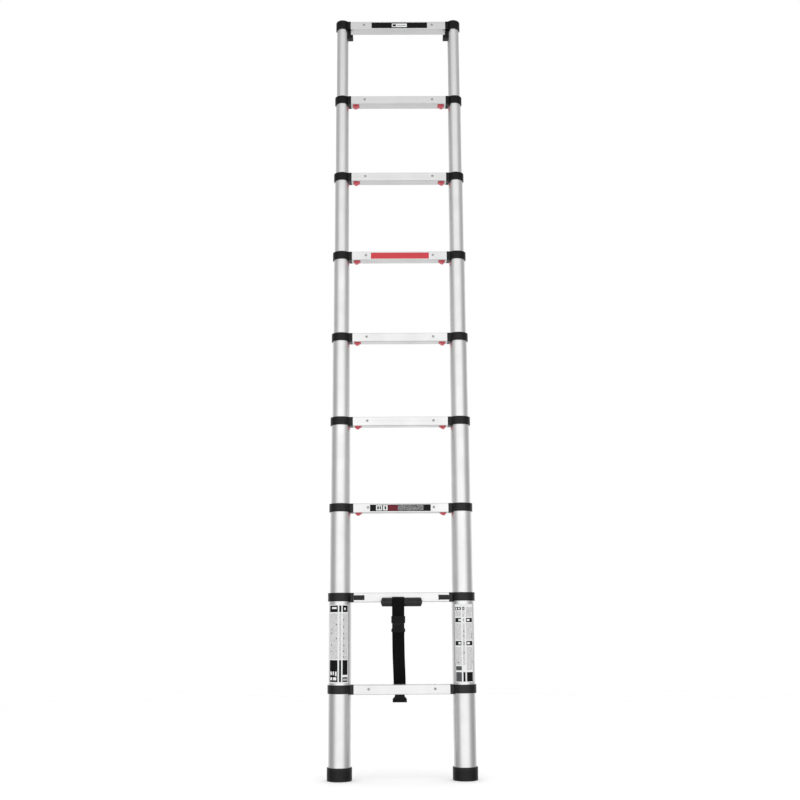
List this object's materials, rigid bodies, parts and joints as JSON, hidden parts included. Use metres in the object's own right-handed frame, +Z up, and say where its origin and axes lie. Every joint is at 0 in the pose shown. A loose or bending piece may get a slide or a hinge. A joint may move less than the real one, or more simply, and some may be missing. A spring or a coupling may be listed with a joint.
{
  "type": "telescoping ladder",
  "caption": "Telescoping ladder of nested aluminium tubes with flat hollow rungs, black collars, red release triggers, thumb slides and a carry strap.",
  "frame": {"origin": "on the floor, midway between the two stile axes", "axes": "+X along the rungs, +Y to the rear, +Z up the stiles"},
  "size_m": [0.478, 0.0988, 2.619],
  "materials": {
    "anodised_aluminium": "satin anodised, drawn tube and extrusion",
    "black_plastic": "black glass-filled nylon, fine moulded grain",
    "red_plastic": "red moulded nylon",
    "foot_rubber": "black moulded rubber",
    "bush_plastic": "natural nylon",
    "pin_steel": "zinc-plated turned steel",
    "webbing": "black woven polypropylene webbing"
  },
  "bodies": {
    "base": {"stile_tubes_8": "anodised_aluminium", "rung_8": "anodised_aluminium", "rung_9": "anodised_aluminium", "collars_8": "black_plastic", "lower_collars": "black_plastic", "feet": "foot_rubber", "carry_handle": "black_plastic", "strap_webbing": "webbing", "buckle_socket": "black_plastic", "buckle_plug": "black_plastic"},
    "section_7": {"stile_tubes_7": "anodised_aluminium", "rung_7": "anodised_aluminium", "guide_bushes_7": "bush_plastic", "collars_7": "black_plastic"},
    "section_6": {"stile_tubes_6": "anodised_aluminium", "rung_6": "anodised_aluminium", "guide_bushes_6": "bush_plastic", "collars_6": "black_plastic"},
    "section_5": {"stile_tubes_5": "anodised_aluminium", "rung_5": "anodised_aluminium", "guide_bushes_5": "bush_plastic", "collars_5": "black_plastic"},
    "section_4": {"stile_tubes_4": "anodised_aluminium", "rung_4": "anodised_aluminium", "guide_bushes_4": "bush_plastic", "collars_4": "black_plastic"},
    "section_3": {"stile_tubes_3": "anodised_aluminium", "rung_3": "anodised_aluminium", "guide_bushes_3": "bush_plastic", "collars_3": "black_plastic"},
    "section_2": {"stile_tubes_2": "anodised_aluminium", "rung_2": "anodised_aluminium", "guide_bushes_2": "bush_plastic", "collars_2": "black_plastic"},
    "section_1": {"stile_tubes_1": "anodised_aluminium", "rung_1": "anodised_aluminium", "guide_bushes_1": "bush_plastic", "top_caps": "black_plastic"},
    "triggers_7": {"triggers_7": "red_plastic"},
    "lock_pin_7_left": {"lock_pin_7_left": "pin_steel"},
    "lock_pin_7_right": {"lock_pin_7_right": "pin_steel"},
    "triggers_6": {"triggers_6": "red_plastic"},
    "lock_pin_6_left": {"lock_pin_6_left": "pin_steel"},
    "lock_pin_6_right": {"lock_pin_6_right": "pin_steel"},
    "triggers_5": {"triggers_5": "red_plastic"},
    "lock_pin_5_left": {"lock_pin_5_left": "pin_steel"},
    "lock_pin_5_right": {"lock_pin_5_right": "pin_steel"},
    "triggers_4": {"triggers_4": "red_plastic"},
    "lock_pin_4_left": {"lock_pin_4_left": "pin_steel"},
    "lock_pin_4_right": {"lock_pin_4_right": "pin_steel"},
    "triggers_3": {"triggers_3": "red_plastic"},
    "lock_pin_3_left": {"lock_pin_3_left": "pin_steel"},
    "lock_pin_3_right": {"lock_pin_3_right": "pin_steel"},
    "triggers_2": {"triggers_2": "red_plastic"},
    "lock_pin_2_left": {"lock_pin_2_left": "pin_steel"},
    "lock_pin_2_right": {"lock_pin_2_right": "pin_steel"},
    "slide_button_left": {"slide_button_left": "black_plastic"},
    "lock_pin_8_left": {"lock_pin_8_left": "pin_steel"},
    "slide_button_right": {"slide_button_right": "black_plastic"},
    "lock_pin_8_right": {"lock_pin_8_right": "pin_steel"}
  },
  "joints": [
    {"name": "section_7_slide", "type": "slide", "parent": "base", "child": "section_7", "axis": [0, 0, 1], "range_m": [-0.257, 0]},
    {"name": "triggers_7_push", "type": "slide", "parent": "section_7", "child": "triggers_7", "axis": [0, 0, 1], "range_m": [0, 0.007]},
    {"name": "lock_pin_7_left_draw", "type": "slide", "parent": "section_7", "child": "lock_pin_7_left", "axis": [1, 0, 0], "range_m": [0, 0.007]},
    {"name": "lock_pin_7_right_draw", "type": "slide", "parent": "section_7", "child": "lock_pin_7_right", "axis": [-1, 0, 0], "range_m": [0, 0.007]},
    {"name": "section_6_slide", "type": "slide", "parent": "section_7", "child": "section_6", "axis": [0, 0, 1], "range_m": [-0.257, 0]},
    {"name": "triggers_6_push", "type": "slide", "parent": "section_6", "child": "triggers_6", "axis": [0, 0, 1], "range_m": [0, 0.007]},
    {"name": "lock_pin_6_left_draw", "type": "slide", "parent": "section_6", "child": "lock_pin_6_left", "axis": [1, 0, 0], "range_m": [0, 0.007]},
    {"name": "lock_pin_6_right_draw", "type": "slide", "parent": "section_6", "child": "lock_pin_6_right", "axis": [-1, 0, 0], "range_m": [0, 0.007]},
    {"name": "section_5_slide", "type": "slide", "parent": "section_6", "child": "section_5", "axis": [0, 0, 1], "range_m": [-0.257, 0]},
    {"name": "triggers_5_push", "type": "slide", "parent": "section_5", "child": "triggers_5", "axis": [0, 0, 1], "range_m": [0, 0.007]},
    {"name": "lock_pin_5_left_draw", "type": "slide", "parent": "section_5", "child": "lock_pin_5_left", "axis": [1, 0, 0], "range_m": [0, 0.007]},
    {"name": "lock_pin_5_right_draw", "type": "slide", "parent": "section_5", "child": "lock_pin_5_right", "axis": [-1, 0, 0], "range_m": [0, 0.007]},
    {"name": "section_4_slide", "type": "slide", "parent": "section_5", "child": "section_4", "axis": [0, 0, 1], "range_m": [-0.257, 0]},
    {"name": "triggers_4_push", "type": "slide", "parent": "section_4", "child": "triggers_4", "axis": [0, 0, 1], "range_m": [0, 0.007]},
    {"name": "lock_pin_4_left_draw", "type": "slide", "parent": "section_4", "child": "lock_pin_4_left", "axis": [1, 0, 0], "range_m": [0, 0.007]},
    {"name": "lock_pin_4_right_draw", "type": "slide", "parent": "section_4", "child": "lock_pin_4_right", "axis": [-1, 0, 0], "range_m": [0, 0.007]},
    {"name": "section_3_slide", "type": "slide", "parent": "section_4", "child": "section_3", "axis": [0, 0, 1], "range_m": [-0.257, 0]},
    {"name": "triggers_3_push", "type": "slide", "parent": "section_3", "child": "triggers_3", "axis": [0, 0, 1], "range_m": [0, 0.007]},
    {"name": "lock_pin_3_left_draw", "type": "slide", "parent": "section_3", "child": "lock_pin_3_left", "axis": [1, 0, 0], "range_m": [0, 0.007]},
    {"name": "lock_pin_3_right_draw", "type": "slide", "parent": "section_3", "child": "lock_pin_3_right", "axis": [-1, 0, 0], "range_m": [0, 0.007]},
    {"name": "section_2_slide", "type": "slide", "parent": "section_3", "child": "section_2", "axis": [0, 0, 1], "range_m": [-0.257, 0]},
    {"name": "triggers_2_push", "type": "slide", "parent": "section_2", "child": "triggers_2", "axis": [0, 0, 1], "range_m": [0, 0.007]},
    {"name": "lock_pin_2_left_draw", "type": "slide", "parent": "section_2", "child": "lock_pin_2_left", "axis": [1, 0, 0], "range_m": [0, 0.007]},
    {"name": "lock_pin_2_right_draw", "type": "slide", "parent": "section_2", "child": "lock_pin_2_right", "axis": [-1, 0, 0], "range_m": [0, 0.007]},
    {"name": "section_1_slide", "type": "slide", "parent": "section_2", "child": "section_1", "axis": [0, 0, 1], "range_m": [-0.229, 0]},
    {"name": "slide_button_left_pull", "type": "slide", "parent": "base", "child": "slide_button_left", "axis": [1, 0, 0], "range_m": [0, 0.008], "stiffness_N_per_m": 300, "springref_m": -0.005},
    {"name": "lock_pin_8_left_draw", "type": "slide", "parent": "base", "child": "lock_pin_8_left", "axis": [1, 0, 0], "range_m": [0, 0.008]},
    {"name": "slide_button_right_pull", "type": "slide", "parent": "base", "child": "slide_button_right", "axis": [-1, 0, 0], "range_m": [0, 0.008], "stiffness_N_per_m": 300, "springref_m": -0.005},
    {"name": "lock_pin_8_right_draw", "type": "slide", "parent": "base", "child": "lock_pin_8_right", "axis": [-1, 0, 0], "range_m": [0, 0.008]}
  ],
  "couplings": [
    {"joint": "triggers_7_push", "follows": "section_7_slide", "ratio": -0.0272},
    {"joint": "lock_pin_7_left_draw", "follows": "section_7_slide", "ratio": -0.0272},
    {"joint": "lock_pin_7_right_draw", "follows": "section_7_slide", "ratio": -0.0272},
    {"joint": "triggers_6_push", "follows": "section_6_slide", "ratio": -0.0272},
    {"joint": "lock_pin_6_left_draw", "follows": "section_6_slide", "ratio": -0.0272},
    {"joint": "lock_pin_6_right_draw", "follows": "section_6_slide", "ratio": -0.0272},
    {"joint": "triggers_5_push", "follows": "section_5_slide", "ratio": -0.0272},
    {"joint": "lock_pin_5_left_draw", "follows": "section_5_slide", "ratio": -0.0272},
    {"joint": "lock_pin_5_right_draw", "follows": "section_5_slide", "ratio": -0.0272},
    {"joint": "triggers_4_push", "follows": "section_4_slide", "ratio": -0.0272},
    {"joint": "lock_pin_4_left_draw", "follows": "section_4_slide", "ratio": -0.0272},
    {"joint": "lock_pin_4_right_draw", "follows": "section_4_slide", "ratio": -0.0272},
    {"joint": "triggers_3_push", "follows": "section_3_slide", "ratio": -0.0272},
    {"joint": "lock_pin_3_left_draw", "follows": "section_3_slide", "ratio": -0.0272},
    {"joint": "lock_pin_3_right_draw", "follows": "section_3_slide", "ratio": -0.0272},
    {"joint": "triggers_2_push", "follows": "section_2_slide", "ratio": -0.0272},
    {"joint": "lock_pin_2_left_draw", "follows": "section_2_slide", "ratio": -0.0272},
    {"joint": "lock_pin_2_right_draw", "follows": "section_2_slide", "ratio": -0.0272},
    {"joint": "lock_pin_8_left_draw", "follows": "slide_button_left_pull", "ratio": 1},
    {"joint": "lock_pin_8_right_draw", "follows": "slide_button_right_pull", "ratio": 1}
  ]
}
